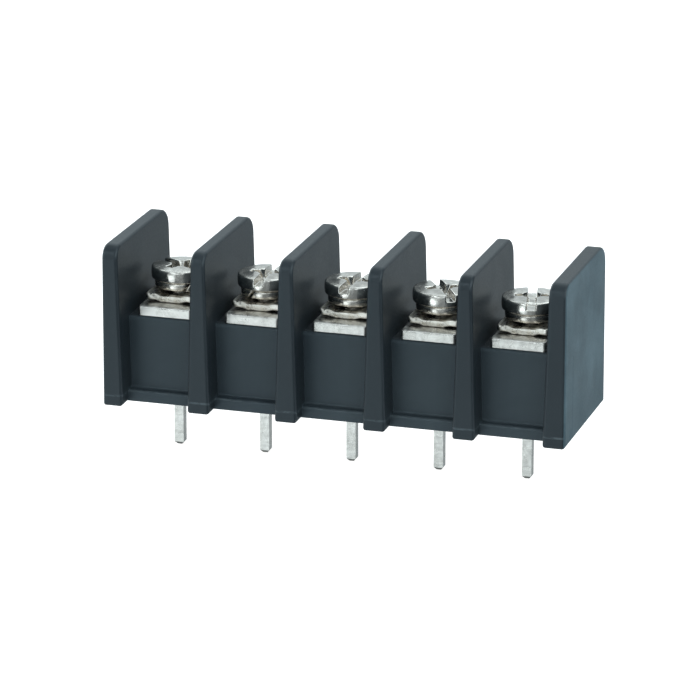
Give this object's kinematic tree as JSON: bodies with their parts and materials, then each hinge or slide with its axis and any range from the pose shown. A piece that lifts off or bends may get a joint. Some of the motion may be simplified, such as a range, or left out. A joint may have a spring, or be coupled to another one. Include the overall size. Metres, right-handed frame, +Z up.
{
  "type": "pcb barrier terminal block",
  "caption": "Straight barrier terminal block for a circuit board: black walls between screw clamps with rectangular wire washers, and a row of square solder pins underneath.",
  "frame": {"origin": "centre of the middle solder pin, in the plane of the board that the block sits on", "axes": "+X along the row of poles, +Y from the wire side to the back, +Z up from the board"},
  "size_m": [0.0496, 0.0167, 0.0235],
  "materials": {
    "housing_plastic": "fine satin, moulded",
    "terminal_plating": "tin-plated, satin, over brass",
    "clamp_plating": "nickel-plated, bright",
    "spring_steel": "nickel-plated, bright",
    "screw_plating": "nickel-plated steel, bright"
  },
  "bodies": {
    "block": {"housing": "housing_plastic", "terminal_1": "terminal_plating", "terminal_2": "terminal_plating", "terminal_3": "terminal_plating", "terminal_4": "terminal_plating", "terminal_5": "terminal_plating"},
    "clamp_1": {"clamp_washer_1": "clamp_plating"},
    "screw_1": {"screw_1": "screw_plating", "spring_washer_1": "spring_steel"},
    "clamp_2": {"clamp_washer_2": "clamp_plating"},
    "screw_2": {"screw_2": "screw_plating", "spring_washer_2": "spring_steel"},
    "clamp_3": {"clamp_washer_3": "clamp_plating"},
    "screw_3": {"screw_3": "screw_plating", "spring_washer_3": "spring_steel"},
    "clamp_4": {"clamp_washer_4": "clamp_plating"},
    "screw_4": {"screw_4": "screw_plating", "spring_washer_4": "spring_steel"},
    "clamp_5": {"clamp_washer_5": "clamp_plating"},
    "screw_5": {"screw_5": "screw_plating", "spring_washer_5": "spring_steel"}
  },
  "joints": [
    {"name": "clamp_1_lift", "type": "slide", "parent": "block", "child": "clamp_1", "axis": [0, 0, 1], "range_m": [0, 0.0024]},
    {"name": "screw_1_turn", "type": "hinge", "parent": "clamp_1", "child": "screw_1", "pos_m": [-0.019, 0.0007, 0.01], "axis": [0, 0, 1], "range_deg": [0, 1440.5]},
    {"name": "clamp_2_lift", "type": "slide", "parent": "block", "child": "clamp_2", "axis": [0, 0, 1], "range_m": [0, 0.0024]},
    {"name": "screw_2_turn", "type": "hinge", "parent": "clamp_2", "child": "screw_2", "pos_m": [-0.0095, 0.0007, 0.01], "axis": [0, 0, 1], "range_deg": [0, 1440.5]},
    {"name": "clamp_3_lift", "type": "slide", "parent": "block", "child": "clamp_3", "axis": [0, 0, 1], "range_m": [0, 0.0024]},
    {"name": "screw_3_turn", "type": "hinge", "parent": "clamp_3", "child": "screw_3", "pos_m": [0, 0.0007, 0.01], "axis": [0, 0, 1], "range_deg": [0, 1440.5]},
    {"name": "clamp_4_lift", "type": "slide", "parent": "block", "child": "clamp_4", "axis": [0, 0, 1], "range_m": [0, 0.0024]},
    {"name": "screw_4_turn", "type": "hinge", "parent": "clamp_4", "child": "screw_4", "pos_m": [0.0095, 0.0007, 0.01], "axis": [0, 0, 1], "range_deg": [0, 1440.5]},
    {"name": "clamp_5_lift", "type": "slide", "parent": "block", "child": "clamp_5", "axis": [0, 0, 1], "range_m": [0, 0.0024]},
    {"name": "screw_5_turn", "type": "hinge", "parent": "clamp_5", "child": "screw_5", "pos_m": [0.019, 0.0007, 0.01], "axis": [0, 0, 1], "range_deg": [0, 1440.5]}
  ],
  "couplings": [
    {"joint": "screw_1_turn", "follows": "clamp_1_lift", "rad_per_m": 10472},
    {"joint": "screw_2_turn", "follows": "clamp_2_lift", "rad_per_m": 10472},
    {"joint": "screw_3_turn", "follows": "clamp_3_lift", "rad_per_m": 10472},
    {"joint": "screw_4_turn", "follows": "clamp_4_lift", "rad_per_m": 10472},
    {"joint": "screw_5_turn", "follows": "clamp_5_lift", "rad_per_m": 10472}
  ]
}
